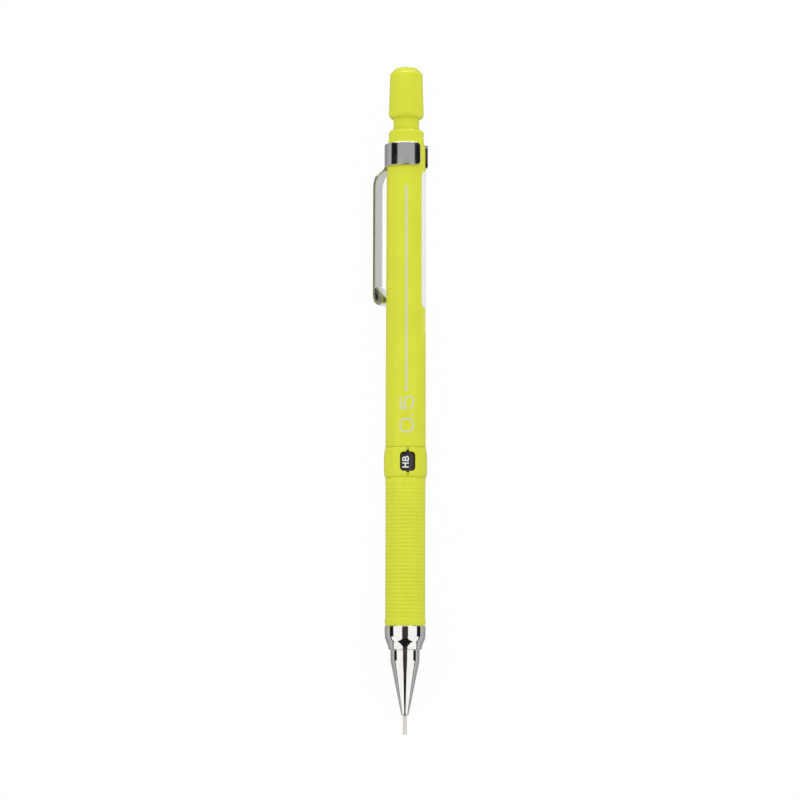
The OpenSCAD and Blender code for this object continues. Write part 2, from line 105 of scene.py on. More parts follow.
BAND_LENGTH = 4.9
BAND_SHEET = 0.5
pipe_end = span("guide_pipe")[1]
pipe_root_r = reach("guide_pipe")
pipe_r = pipe_root_r - PIPE_TRIM
nose, screw_end = span("tip_cone")
grip_front, tail = span("barrel")
barrel_r = reach("barrel") - BARREL_TRIM
ring_front = span("window_ring")[0]
ring_rear = span("window_ring")[1] - RING_SHORTER
ring_r = reach("window_ring") - RING_TRIM
film_front, film_rear = span("grade_band")
film_r = reach("grade_band")
ring_seat_r = film_r + CLOSE
ring_in_r = ring_seat_r + RUNNING
label_front, label_rear = span("side_label")
band_rear = span("clip_band")[1]
band_front = band_rear - BAND_LENGTH
band_out_r = reach("clip_band")
arm_end = span("clip_arm")[0]
cap_front, cap_rear = span("push_cap")
cap_front -= CAP_FORWARD
cap_mouth_r = reach("push_cap")
neck_front, neck_rear = span("eraser_holder")
neck_r = reach("eraser_holder") - NECK_TRIM
bore_r = neck_r + NECK_TRIM + 0.07
eraser_front, eraser_rear = span("eraser")
eraser_r = reach("eraser")
tank_rear = span("lead_tank")[1]
tank_r = reach("lead_tank")
flange_r = reach("chuck_sleeve")
socket_r = flange_r + 0.2
screw_r = socket_r - RUNNING
sleeve_front = span("chuck_sleeve")[0]
ring_stop = span("chuck_ring")[0] - 0.55
ring_chamber_r = reach("chuck_ring") + RUNNING
retainer_front, retainer_rear = span("lead_retainer")
retainer_r = reach("lead_retainer") + CLOSE
seat_r = band_out_r - BAND_SHEET - CLOSE
seat_lip_r = seat_r + 0.03

# Directions about X, counted from straight up towards +Y, and arcs
CLIP_TURN = math.radians(112)
GAP_TURN = math.radians(-60)
GAP_ANGLE = math.radians(36)
FREE_END = math.radians(7)
LABEL_TURN = math.radians(-118)
LABEL_ANGLE = math.radians(133)
WINDOW_TURN = math.radians(-6)


def surface_r(x):
    """Radius of the barrel's surface behind the grade ring, which tapers towards the clip."""
    share = (x - ring_rear) / (band_front - ring_rear)
    return barrel_r - (barrel_r - seat_lip_r) * min(max(share, 0.0), 1.0)


def around(x, r, angle):
    """Point at distance x and radius r, turned by angle about X from straight up towards +Y."""
    return (x * MM, r * math.sin(angle) * MM, r * math.cos(angle) * MM)


# ---------------------------------------------------------------- outlines
def softened(points, closed=False):
    """Replaces each corner (x, r, cut) by a small curve that starts and ends at the distance cut."""
    out = []
    count = len(points)
    for i, point in enumerate(points):
        cut = point[2] if len(point) > 2 else 0
        inner = closed or 0 < i < count - 1
        if not cut or not inner:
            out.append(point[:2])
            continue
        here = Vector(point[:2])
        before = Vector(points[i - 1][:2]) - here
        after = Vector(points[(i + 1) % count][:2]) - here
        start = here + before.normalized() * min(cut, before.length * 0.49)
        end = here + after.normalized() * min(cut, after.length * 0.49)
        for k in range(6):
            t = k / 5
            out.append(tuple((1 - t) ** 2 * start + 2 * t * (1 - t) * here + t * t * end))
    return out


def curve_through(points, steps=6):
    """Smooth curve through points, as a list with `steps` points for each stretch."""
    vectors = [Vector(p) for p in points]
    ends = [2 * vectors[0] - vectors[1], *vectors, 2 * vectors[-1] - vectors[-2]]
    out = []
    for i in range(1, len(ends) - 2):
        a, b, c, d = ends[i - 1:i + 3]
        for k in range(steps):
            t = k / steps
            out.append(tuple(0.5 * (2 * b + (c - a) * t + (2 * a - 5 * b + 4 * c - d) * t * t
                                    + (3 * b - a - 3 * c + d) * t ** 3)))
    out.append(tuple(vectors[-1]))
    return out


# ---------------------------------------------------------------- meshes
def linked(name, data):
    """New object in the scene for a mesh, a lamp or a camera."""
    piece = bpy.data.objects.new(name, data)
    bpy.context.scene.collection.objects.link(piece)
    return piece


def finished(name, vertices, faces):
    """Object from a point list, with outward normals, smooth faces and sharp edges at corners."""
    mesh = bpy.data.meshes.new(name)
    mesh.from_pydata(vertices, [], faces)
    work = bmesh.new()
    work.from_mesh(mesh)
    bmesh.ops.remove_doubles(work, verts=work.verts, dist=WELD)
    bmesh.ops.recalc_face_normals(work, faces=work.faces)
    for face in work.faces:
        face.smooth = True
    work.to_mesh(mesh)
    work.free()
    mesh.set_sharp_from_angle(angle=SHARP_ANGLE)
    return linked(name, mesh)


def lathe(name, outline, segments=SEGMENTS, ripple=None):
    """Closed solid of revolution about X. ripple(x, angle) moves a point outwards, in mm."""
    vertices, rows = [], []
    for x, r in outline:
        if r < 1e-6:
            vertices.append((x * MM, 0, 0))
            rows.append([len(vertices) - 1] * segments)
            continue
        row = []
        for k in range(segments):
            angle = TURN * k / segments
            extra = ripple(x, angle) if ripple else 0
            vertices.append(around(x, r + extra, angle))
            row.append(len(vertices) - 1)
        rows.append(row)
    faces = []
    for i, row in enumerate(rows):
        following = rows[(i + 1) % len(rows)]
        if len(set(row)) == 1 and len(set(following)) == 1:
            continue
        for k in range(segments):
            n = (k + 1) % segments
            ring = [row[k], row[n], following[n], following[k]]
            face = [v for j, v in enumerate(ring) if v not in ring[:j]]
            faces.append(face)
    return finished(name, vertices, faces)


def lofted(name, sections):
    """Solid through a row of closed sections with the same number of points, capped at both ends."""
    vertices = [p for section in sections for p in section]
    n = len(sections[0])
    faces = [[i * n + k, i * n + (k + 1) % n, (i + 1) * n + (k + 1) % n, (i + 1) * n + k]
             for i in range(len(sections) - 1) for k in range(n)]
    faces.append(list(range(n)))
    faces.append([(len(sections) - 1) * n + k for k in range(n)])
    return finished(name, vertices, faces)


def wrapped_sheet(name, start, end, x0, x1, corner, inner, outer, edge):
    """Sheet bent round the barrel between two angles, with rounded corners and soft edges.

    inner(x) and outer(x) are its radii, and edge is how far its outer rims are rounded, in mm.
    """
    mean_r = outer((x0 + x1) / 2)
    length = (end - start) * mean_r
    steps = [corner * (1 - math.cos(math.pi / 2 * k / 9)) for k in range(10)]
    steps = sorted(set([0, edge * 0.3, edge] + steps))
    middle = int(math.degrees(end - start) / 1.2)
    arcs = steps + [corner + (length - 2 * corner) * k / middle for k in range(1, middle)]
    arcs += [length - s for s in reversed(steps)]
    sections = []
    for arc in arcs:
        gap = min(arc, length - arc)
        inset = corner - math.sqrt(max(corner ** 2 - (corner - min(gap, corner)) ** 2, 0))
        drop = edge - math.sqrt(max(edge ** 2 - (edge - min(gap, edge)) ** 2, 0))
        angle = start + arc / mean_r
        low = x0 + inset
        high = x1 - inset
        ring = [(low, inner(low), 0), (low, outer(low) - drop, edge),
                (high, outer(high) - drop, edge), (high, inner(high), 0)]
        sections.append([around(x, r, angle) for x, r in softened(ring, closed=True)])
    return lofted(name, sections)


def joined(name, pieces):
    """One object from several, which keep their faces."""
    work = bmesh.new()
    for piece in pieces:
        work.from_mesh(piece.data)
    mesh = bpy.data.meshes.new(name)
    work.to_mesh(mesh)
    work.free()
    for piece in pieces:
        bpy.data.objects.remove(piece)
    mesh.set_sharp_from_angle(angle=SHARP_ANGLE)
    return linked(name, mesh)


def carved(piece, tool, operation):
    """Applies an exact boolean to piece and removes the tool."""
    modifier = piece.modifiers.new("carve", "BOOLEAN")
    modifier.operation = operation
    modifier.object = tool
    modifier.solver = "EXACT"
    bpy.context.view_layer.update()
    graph = bpy.context.evaluated_depsgraph_get()
    mesh = bpy.data.meshes.new_from_object(piece.evaluated_get(graph))
    piece.modifiers.clear()
    piece.data = mesh
    bpy.data.objects.remove(tool)
    for polygon in mesh.polygons:
        polygon.use_smooth = True
    mesh.set_sharp_from_angle(angle=SHARP_ANGLE)
    return piece


INK_THICKNESS = 0.012
INK_LAYER = 0.001
INK_SUNK = 0.004


def open_loop(mesh, section):
    """Removes the two caps on top of each other where a closed stroke meets its own start."""
    places = [Vector(p) for p in section]
    work = bmesh.new()
    work.from_mesh(mesh)
    caps = [face for face in work.faces
            if all(min((v.co - p).length for p in places) < 1e-9 for v in face.verts)]
    bmesh.ops.delete(work, geom=caps, context="FACES_ONLY")
    bmesh.ops.remove_doubles(work, verts=work.verts, dist=WELD)
    work.to_mesh(mesh)
    work.free()


def ink(name, strokes, width, base_r):
    """Printed strokes on the barrel. A stroke is (points, closed), each point (x, arc) in mm.

    Each stroke lies a hair higher than the one before, so that no two faces coincide.
    """
    parts = []
    for index, (points, closed) in enumerate(strokes):
        sections = []
        count = len(points)
        for i, point in enumerate(points):
            before = points[i - 1] if i or closed else point
            after = points[(i + 1) % count] if i < count - 1 or closed else point
            back = (Vector(point) - Vector(before)).normalized()
            forth = (Vector(after) - Vector(point)).normalized()
            along = (back + forth).normalized()
            stretch = 1 / max(along.dot(forth if forth.length else back), 0.5)
            aside = Vector((-along.y, along.x)) * width / 2 * stretch
            section = []
            top = INK_THICKNESS + INK_LAYER * index
            for side, up in ((1, -INK_SUNK), (1, top), (-1, top), (-1, -INK_SUNK)):
                x, arc = Vector(point) + aside * side
                r = base_r(x)
                section.append(around(x, r + up, arc / r))
            sections.append(section)
        if closed:
            sections.append(sections[0])
        part = lofted(f"{name}_{index}", sections)
        if closed:
            open_loop(part.data, sections[0])
        parts.append(part)
    return joined(name, parts)


def put(piece, body, slot, material, *nodes):
    """Gives a finished piece its material and its body, and hides the CAD nodes it stands for. slot
    is not used.
    """
    piece.data.materials.clear()
    piece.data.materials.append(material)
    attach(piece, body)
    if nodes:
        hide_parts(*nodes)
    return piece


# ---------------------------------------------------------------- materials
def new_material(name):
    """A material with a bare Principled shader. Returns (material, tree, shader)."""
    material = bpy.data.materials.new(name)
    material.use_nodes = True
    tree = material.node_tree
    shader = tree.nodes["Principled BSDF"]
    return material, tree, shader


def noise(tree, scale, detail=3.0, stretch=(1, 1, 1)):
    """Noise on the object's own coordinates, in metres, with its grain stretched by `stretch`."""
    place = tree.nodes.new("ShaderNodeTexCoord")
    mapping = tree.nodes.new("ShaderNodeMapping")
    mapping.inputs["Scale"].default_value = stretch
    texture = tree.nodes.new("ShaderNodeTexNoise")
    texture.inputs["Scale"].default_value = scale
    texture.inputs["Detail"].default_value = detail
    tree.links.new(place.outputs["Object"], mapping.inputs["Vector"])
    tree.links.new(mapping.outputs["Vector"], texture.inputs["Vector"])
    return texture.outputs["Fac"]


def bump(tree, shader, height, distance, strength=1.0):
    """Bump of `distance` metres from a height value."""
    node = tree.nodes.new("ShaderNodeBump")
    node.inputs["Distance"].default_value = distance
    node.inputs["Strength"].default_value = strength
    tree.links.new(height, node.inputs["Height"])
    tree.links.new(node.outputs["Normal"], shader.inputs["Normal"])


def vary_colour(tree, shader, value, dark, light):
    """Base colour that wanders between two close colours."""
    ramp = tree.nodes.new("ShaderNodeValToRGB")
    ramp.color_ramp.elements[0].position = 0.3
    ramp.color_ramp.elements[0].color = (*dark, 1)
    ramp.color_ramp.elements[1].position = 0.7
    ramp.color_ramp.elements[1].color = (*light, 1)
    tree.links.new(value, ramp.inputs["Fac"])
    tree.links.new(ramp.outputs["Color"], shader.inputs["Base Color"])


def vary_roughness(tree, shader, value, low, high):
    """Roughness that wanders between two values."""
    span_node = tree.nodes.new("ShaderNodeMapRange")
    span_node.inputs["From Min"].default_value = 0.3
    span_node.inputs["From Max"].default_value = 0.7
    span_node.inputs["To Min"].default_value = low
    span_node.inputs["To Max"].default_value = high
    tree.links.new(value, span_node.inputs["Value"])
    tree.links.new(span_node.outputs["Result"], shader.inputs["Roughness"])


def plastic(name, colour, roughness, grain=2500, depth=2e-6, spread=0.03, gloss=0.5):
    """Moulded plastic: a fine grain, a little mottling and an uneven gloss."""
    material, tree, shader = new_material(name)
    dark = [c * (1 - spread) for c in colour]
    light = [min(c * (1 + spread), 1) for c in colour]
    vary_colour(tree, shader, noise(tree, 160, 4), dark, light)
    vary_roughness(tree, shader, noise(tree, 420, 3), roughness * 0.85, roughness * 1.15)
    bump(tree, shader, noise(tree, grain, 2), depth)
    shader.inputs["IOR"].default_value = 1.46
    shader.inputs["Specular IOR Level"].default_value = gloss
    return material


def metal(name, colour, low, high, stretch=(1, 1, 1), scale=900, depth=4e-7, spread=0.02):
    """Bare or plated metal, with a grain that may run one way."""
    material, tree, shader = new_material(name)
    dark = [c * (1 - spread) for c in colour]
    light = [min(c * (1 + spread), 1) for c in colour]
    vary_colour(tree, shader, noise(tree, 200, 3), dark, light)
    vary_roughness(tree, shader, noise(tree, scale, 3, stretch), low, high)
    bump(tree, shader, noise(tree, scale * 2, 2, stretch), depth)
    shader.inputs["Metallic"].default_value = 1
    return material


LIME = (0.70, 0.738, 0.042)
INK = (0.65, 0.66, 0.57)
LIME_GLOSS = 0.28
lime = plastic("lime_plastic", LIME, 0.3, gloss=LIME_GLOSS)
lime_ring = plastic("lime_ring_plastic", LIME, 0.3, gloss=LIME_GLOSS)
lime_cap = plastic("lime_cap_plastic", LIME, 0.32, gloss=LIME_GLOSS)
print_ink = plastic("print_ink", INK, 0.5, grain=5000, depth=1e-6)
grade_ink = plastic("grade_ink", (0.86, 0.87, 0.86), 0.5, grain=5000, depth=1e-6)
film = plastic("grade_film", (0.028, 0.024, 0.026), 0.28, grain=3000, depth=1e-6, spread=0.2)
paper = plastic("label_paper", (0.865, 0.875, 0.835), 0.62, grain=6000, depth=3e-6, spread=0.012)
chrome = metal("tip_chrome", (0.90, 0.89, 0.87), 0.03, 0.06, scale=500, depth=2e-8, spread=0.01)
nickel = metal("clip_nickel", (0.70, 0.70, 0.71), 0.09, 0.2, stretch=(0.12, 1, 1), scale=4000)
# Cut edges of the clip: duller than the plating, and darkened and tinted olive as painted shade
cut_edge_shaded_metal = metal("clip_cut_edge_painted_shade", (0.38, 0.39, 0.2), 0.3, 0.42, scale=2500)
# Painted shade: near-black metal that stands for the shade inside the clip's roll and beside the
# band's free end
painted_shade_metal = metal("clip_painted_shade", (0.09, 0.09, 0.085), 0.16, 0.24, scale=2500)
steel = metal("pipe_steel", (0.99, 0.95, 0.87), 0.42, 0.5, stretch=(0.3, 1, 1), scale=700, depth=1e-8)
brass = metal("chuck_brass", (0.72, 0.53, 0.22), 0.18, 0.3, stretch=(4, 1, 1))
spring = metal("spring_steel", (0.55, 0.55, 0.57), 0.2, 0.32)
natural = plastic("natural_plastic", (0.78, 0.78, 0.75), 0.42)
rubber = plastic("bush_rubber", (0.03, 0.03, 0.03), 0.7, depth=6e-6, spread=0.2)
vinyl = plastic("eraser_vinyl", (0.82, 0.82, 0.80), 0.75, grain=1800, depth=8e-6)
graphite = plastic("lead_graphite", (0.045, 0.045, 0.05), 0.42, grain=6000, spread=0.25)


# ---------------------------------------------------------------- barrel
RIB_PITCH = 0.8165
RIB_DEPTH = 0.105
RIB_HALF_GROOVE = 0.36
RIB_STEPS = 4
COLLAR_STEP = 0.40
ribs_front = grip_front + 1.38
ribs_rear = ring_front - 1.4


def rib_outline():
    """Grooves with round flanks, cut at an even pitch into the grip."""
    count = int((ribs_rear - ribs_front) / RIB_PITCH)
    points = []
    for i in range(count):
        middle = ribs_front + (i + 0.5) * RIB_PITCH
        for k in range(-RIB_STEPS, RIB_STEPS + 1):
            share = k / RIB_STEPS
            depth = RIB_DEPTH * (0.5 + 0.5 * math.cos(math.pi * share))
            points.append((middle + share * RIB_HALF_GROOVE, barrel_r - depth))
    return points


def build_barrel():
    """The barrel with its ribbed grip, the seats of ring, film and clip, and the rear collar."""
    collar_r = seat_r - COLLAR_STEP
    ring_stop_front = ring_front - RUNNING
    ring_stop_rear = ring_rear + RUNNING
    film_seat_r = film_r - 0.05
    front = softened([
        (grip_front, socket_r + 0.25),
        (grip_front, barrel_r - 0.1, 0.12),
        (grip_front + 0.6, barrel_r + 0.06, 0.2),
        (grip_front + 1.1, barrel_r + 0.05, 0.15),
        (ribs_front - 0.02, barrel_r),
    ])
    ring_seat = softened([
        (ribs_rear + 0.1, barrel_r),
        (ring_stop_front, barrel_r, 0.12),
        (ring_stop_front, ring_seat_r),
        (film_front, ring_seat_r),
        (film_front, film_seat_r),
        (film_rear, film_seat_r),
        (film_rear, ring_seat_r),
        (ring_stop_rear, ring_seat_r),
        (ring_stop_rear, barrel_r, 0.12),
        (ring_rear + 1.0, barrel_r),
    ])
    rear = softened([
        (band_front - 0.5, seat_lip_r),
        (band_front - 0.1, seat_lip_r, 0.02),
        (band_front - 0.05, seat_r, 0.03),
        (band_rear - 1.3, seat_r),
    ])
    flare = curve_through([
        (band_rear - 1.1, seat_r),
        (band_rear - 0.5, seat_r - 0.07),
        (band_rear + 0.1, seat_r - 0.20),
        (band_rear + 0.8, collar_r + 0.04),
        (band_rear + 1.4, collar_r - 0.01),
        (band_rear + 2.1, collar_r),
    ])
    collar = softened([
        (tail - 0.8, collar_r + 0.01),
        (tail - 0.5, collar_r - 0.05, 0.2),
        (tail - 0.03, bore_r + 0.1, 0.05),
        (tail, bore_r, 0.03),
        (tail - 0.4, bore_r),
    ])
    bore = [
        (screw_end + 1.6, bore_r),
        (screw_end + 1.6, flange_r + RUNNING),
        (screw_end, flange_r + RUNNING),
        (screw_end, socket_r),
        (grip_front + 0.25, socket_r),
    ]
    outline = front + rib_outline() + ring_seat + rear + flare + collar + bore
    shell = lathe("barrel_shell", outline, 192)
    return put(shell, "barrel", "barrel_plastic", lime, "barrel")


# ---------------------------------------------------------------- grade ring and its film
WINDOW_LENGTH = 4.15
WINDOW_WIDTH = 3.3
WINDOW_CORNER = 0.85
SLIT_WIDTH = 0.62
SLIT_CORNER = 0.05
window_middle = ring_front + 3.27


def window_cut(ring, length, width, corner):
    """Cuts a rounded rectangle through the ring's wall, on the window's middle."""
    outline = []
    for quarter in range(4):
        sx = 1 if quarter in (0, 3) else -1
        sy = 1 if quarter in (0, 1) else -1
        for k in range(9):
            a = math.pi / 2 * (quarter + k / 8)
            outline.append((window_middle + sx * (length / 2 - corner) + corner * math.cos(a),
                            sy * (width / 2 - corner) + corner * math.sin(a)))
    spin = Matrix.Rotation(-WINDOW_TURN, 4, "X")
    sections = [[tuple(spin @ Vector((x * MM, y * MM, z * MM))) for x, y in outline]
                for z in (ring_in_r / 2, ring_r + 1)]
    return carved(ring, lofted("window_tool", sections), "DIFFERENCE")


def build_window_ring():
    """The grade ring: a soft bulge with a window, slit along its whole length."""
    rise = ring_r - barrel_r
    outline = softened([
        (ring_front, ring_in_r, 0.05),
        (ring_front, barrel_r - 0.02, 0.06),
        (ring_front + 0.38, barrel_r + rise * 0.68, 0.2),
        (ring_front + 1.15, ring_r - 0.01, 0.5),
        (ring_rear - 2.4, ring_r, 0.7),
        (ring_rear - 1.5, barrel_r + rise * 0.85, 0.3),
        (ring_rear - 0.55, barrel_r + rise * 0.46, 0.25),
        (ring_rear, barrel_r - 0.04, 0.06),
        (ring_rear, ring_in_r, 0.05),
    ], closed=True)
    ring = lathe("grade_ring", outline, 240)
    ring = window_cut(ring, WINDOW_LENGTH, WINDOW_WIDTH, WINDOW_CORNER)
    ring = window_cut(ring, ring_rear - ring_front + 2, SLIT_WIDTH, SLIT_CORNER)
    return put(ring, "window_ring", "ring_plastic", lime_ring, "window_ring")


def build_film():
    """The thin film under the ring, which carries the grades."""
    under_r = film_r - 0.055
    outline = softened([
        (film_front, under_r), (film_front, film_r, 0.01),
        (film_rear, film_r, 0.01), (film_rear, under_r),
    ], closed=True)
    strip = lathe("grade_film", outline)
    return put(strip, "barrel", "band_film", film, "grade_band")


def arc_points(cx, cy, rx, ry, start, end, steps=10):
    """Points of an elliptical arc between two angles in degrees."""
    return [(cx + rx * math.cos(math.radians(start + (end - start) * k / steps)),
             cy + ry * math.sin(math.radians(start + (end - start) * k / steps)))
            for k in range(steps + 1)]


# Glyphs as strokes in a cell 1 high: (advance, list of open strokes)
GLYPHS = {
    "H": (1.0, [[(0, 0), (0, 1)], [(0.6, 0), (0.6, 1)], [(0.09, 0.52), (0.51, 0.52)]]),
    "B": (1.03, [
        [(0, 0), (0, 1)],
        [(0.09, 0.915), *arc_points(0.33, 0.715, 0.19, 0.2, 90, -90), (0.09, 0.515)],
        [(0.09, 0.5), *arc_points(0.38, 0.29, 0.25, 0.21, 90, -90), (0.09, 0.08)],
    ]),
    "F": (0.96, [[(0, 0), (0, 1)], [(0.09, 0.915), (0.56, 0.915)], [(0.09, 0.5), (0.48, 0.5)]]),
    "2": (1.0, [[*arc_points(0.28, 0.68, 0.27, 0.24, 165, -35), (0.02, 0.08), (0.6, 0.08)]]),
    "3": (0.96, [[*arc_points(0.26, 0.7, 0.25, 0.22, 160, -80),
                  *arc_points(0.26, 0.28, 0.29, 0.22, 80, -160)]]),
    "4": (1.0, [[(0.44, 0), (0.44, 0.97), (0.02, 0.27), (0.6, 0.27)]]),
}
GRADES = ("HB", "F", "H", "2H", "3H", "4H", "2B", "B")
GRADE_HEIGHT = 1.38
GRADE_STROKE = 0.25
GRADE_SHIFT = -0.1


FINE_STEP = 0.2
LONG_STEP = 0.5


def dense(points, step):
    """The same path with no stretch longer than step."""
    out = [points[0]]
    for before, after in zip(points, points[1:]):
        pieces = max(1, math.ceil((Vector(after) - Vector(before)).length / step))
        for k in range(1, pieces + 1):
            out.append(tuple(Vector(before).lerp(Vector(after), k / pieces)))
    return out


def build_grades():
    """The grades, read towards the push cap, at even steps round the film."""
    strokes = []
    for index, grade in enumerate(GRADES):
        turn = TURN * index / len(GRADES)
        width = sum(GLYPHS[letter][0] for letter in grade) - 0.4
        x = window_middle + GRADE_SHIFT - width * GRADE_HEIGHT / 2
        for letter in grade:
            advance, lines = GLYPHS[letter]
            for line in lines:
                placed = [(x + u * GRADE_HEIGHT, turn * film_r + (v - 0.5) * GRADE_HEIGHT)
                          for u, v in line]
                strokes.append((dense(placed, FINE_STEP), False))
            x += advance * GRADE_HEIGHT
    letters = ink("grade_letters", strokes, GRADE_STROKE, lambda x: film_r)
    return put(letters, "barrel", "band_film", grade_ink)


# ---------------------------------------------------------------- print and label
PRINT_STROKE = 0.34
LINE_STROKE = 0.4
DIGIT_SIZE = 2.75
DIGIT_BASE = -1.62
DIGIT_SQUARENESS = 2.8
POINT_LENGTH = 0.4
digits_front = ring_rear + 3.15
point_front = digits_front + DIGIT_SIZE + 0.65
five_front = digits_front + DIGIT_SIZE + 2.15
line_front = five_front + DIGIT_SIZE + 0.95
line_rear = label_rear - 3.4


def zero_stroke():
    """A squarish ring, as (x, arc)."""
    half = DIGIT_SIZE / 2
    power = DIGIT_SQUARENESS
    points = []
    for k in range(48):
        a = TURN * k / 48
        bulge = (abs(math.cos(a)) ** power + abs(math.sin(a)) ** power) ** (-1 / power)
        points.append((digits_front + half + half * bulge * math.cos(a),
                       DIGIT_BASE + half + half * bulge * math.sin(a)))
    return points


def five_stroke():
    """Flag, stem and bowl of the five, as (x, arc)."""
    flag = dense([(2.5, 2.72), (0.15, 2.72), (0.05, 1.55)], FINE_STEP)
    bowl = curve_through([(0.05, 1.55), (0.75, 1.78), (1.75, 1.8), (2.45, 1.5), (2.68, 0.92),
                          (2.4, 0.3), (1.7, 0.02), (0.95, 0.02), (0.4, 0.2), (0.05, 0.72)], 5)
    return [(five_front + x, DIGIT_BASE + arc) for x, arc in flag + bowl[1:]]


def build_print():
    """A long line and the plain lead size. Nothing else is printed on the barrel."""
    point_arc = DIGIT_BASE + 0.12
    point = [(point_front, point_arc), (point_front + POINT_LENGTH, point_arc)]
    strokes = [(zero_stroke(), True), (dense(point, FINE_STEP), False), (five_stroke(), False)]
    marks = ink("print_marks", strokes, PRINT_STROKE, surface_r)
    put(marks, "barrel", "barrel_plastic", print_ink)
    line = dense([(line_front, -0.13), (line_rear, -0.02)], LONG_STEP)
    rule = ink("print_line", [(line, False)], LINE_STROKE, surface_r)
    put(rule, "barrel", "barrel_plastic", print_ink)


def build_label():
    """The blank label, wrapped round the side away from the clip."""
    sheet = wrapped_sheet(
        "label_sheet", LABEL_TURN - LABEL_ANGLE / 2, LABEL_TURN + LABEL_ANGLE / 2,
        label_front, label_rear, 1.3, lambda x: surface_r(x) + 0.01,
        lambda x: surface_r(x) + 0.085, 0.03)
    return put(sheet, "barrel", "label_film", paper, "side_label")


# ---------------------------------------------------------------- clip
ARM_HALF_WIDTH = 2.1
NECK_HALF_WIDTH = 1.35
ARM_GAP = 2.1
HOOK_R = 0.92
BAND_CORNER = 1.05
HALF_SHEET = BAND_SHEET / 2
hook_x = arm_end + HALF_SHEET + HOOK_R
straight_r = surface_r(hook_x) + ARM_GAP + HALF_SHEET

# Slots of the clip's materials, in the order that mark_faces gives them: plating, cut edges with
# painted shade, and dark metal painted as shade inside the roll and at the band's free end
PLATED, CUT_SHADED, PAINTED_SHADE = 0, 1, 2


def arm_path():
    """Middle of the arm's sheet as (x, distance from the axis), from the band to its free end."""
    root_r = band_out_r - HALF_SHEET
    low_r = straight_r - 1.85
    bend = curve_through([
        (band_front + 0.7, root_r),
        (band_front + 0.1, root_r + 0.03),
        (band_front - 0.35, root_r + 0.26),
        (band_front - 0.85, root_r + 0.76),
        (band_front - 1.45, root_r + 1.3),
        (band_front - 2.3, straight_r - 0.36),
        (band_front - 3.4, straight_r - 0.07),
        (band_front - 4.6, straight_r),
    ], 5)
    arm = [(band_front - 4.6 - (band_front - 4.6 - hook_x) * k / 12, straight_r)
           for k in range(1, 12)]
    roll = curve_through([
        (hook_x + 1.2, straight_r),
        (hook_x + 0.1, straight_r - 0.14),
        (hook_x - 0.6, straight_r - 0.52),
        (hook_x - 0.9, straight_r - 1.05),
        (hook_x - 0.66, low_r + 0.22),
        (hook_x + 0.05, low_r),
        (hook_x + 0.95, low_r + 0.2),
        (hook_x + 1.75, low_r + 0.72),
        (hook_x + 2.6, straight_r - BAND_SHEET - 0.08),
    ], 6)
    return bend + arm[:-1] + roll


def arm_half_width(x):
    """The strip is narrow where it leaves the band and soon reaches its full width."""
    share = min(max((band_front - 0.2 - x) / 1.9, 0), 1)
    share = share * share * (3 - 2 * share)
    return NECK_HALF_WIDTH + (ARM_HALF_WIDTH - NECK_HALF_WIDTH) * share


def mark_faces(piece, kind):
    """Gives a clip piece its plated faces, its cut edges with painted shade and its faces painted
    dark as shade, told apart by kind(polygon).
    """
    for material in (nickel, cut_edge_shaded_metal, painted_shade_metal):
        piece.data.materials.append(material)
    for polygon in piece.data.polygons:
        polygon.material_index = kind(polygon)
    return piece


def build_arm():
    """The sprung arm, a strip swept along its path, with its end rolled up."""
    outward = Vector((0, math.sin(CLIP_TURN), math.cos(CLIP_TURN)))
    across = Vector((0, -math.cos(CLIP_TURN), math.sin(CLIP_TURN)))
    path = [Vector(p) for p in arm_path()]
    sections = []
    for i, point in enumerate(path):
        step = path[min(i + 1, len(path) - 1)] - path[max(i - 1, 0)]
        step.normalize()
        normal = Vector((-step.y, step.x))
        half_w = arm_half_width(point.x) if i < len(path) / 2 else ARM_HALF_WIDTH
        curl = min(max((point.x - band_front + 1.6) / 1.8, 0), 1)
        ring = softened([(-half_w, -HALF_SHEET, 0.09), (half_w, -HALF_SHEET, 0.09),
                         (half_w, HALF_SHEET, 0.09), (-half_w, HALF_SHEET, 0.09)], closed=True)
        section = []
        for s, t in ring:
            lift = -curl * s * s / (2 * (band_out_r - HALF_SHEET))
            place = Vector((1, 0, 0)) * (point.x + normal.x * t)
            place += outward * (point.y + normal.y * t + lift) + across * s
            section.append(tuple(place * MM))
        sections.append(section)
    strip = lofted("clip_arm_strip", sections)
    roll_length = 2.4

    def kind(polygon):
        """Cut edges with painted shade at the strip's sides, and painted shade where the face looks
        into the roll.
        """
        if abs(polygon.normal.dot(across)) > 0.6:
            return CUT_SHADED
        x = polygon.center.x / MM
        share = min(max((x - hook_x) / roll_length, 0), 1)
        middle = Vector((hook_x + roll_length * share, straight_r - HOOK_R + 0.5 * share))
        inwards = middle - Vector((x, polygon.center.dot(outward) / MM))
        facing = Vector((polygon.normal.x, polygon.normal.dot(outward)))
        # Faces that look into the roll are painted dark as shade
        painted_shade_in_roll = x < hook_x + roll_length + 0.1 and inwards.dot(facing) > 0
        return PAINTED_SHADE if painted_shade_in_roll else PLATED

    return mark_faces(strip, kind)


def build_clip():
    """Band and arm as one strip, which bends where the CAD's two nodes meet."""
    inner_r = band_out_r - BAND_SHEET
    start = GAP_TURN + GAP_ANGLE / 2
    end = start + TURN - GAP_ANGLE - FREE_END
    band = wrapped_sheet("clip_strip", start, end, band_front, band_rear, BAND_CORNER,
                         lambda x: inner_r, lambda x: band_out_r, 0.15)

    def kind(polygon):
        """Painted shade near the free end, and cut edges with painted shade at the ends of the strip.
        """
        turn = math.atan2(polygon.center.y, polygon.center.z)
        # The band's faces just before its free end are painted dark as shade
        if (end - turn) % TURN < 2 * FREE_END:
            return PAINTED_SHADE
        return CUT_SHADED if len(polygon.vertices) > 4 else PLATED

    mark_faces(band, kind)
    clip = carved(band, build_arm(), "UNION")
    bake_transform(clip)
    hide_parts("clip_band", "clip_arm")
    return clip


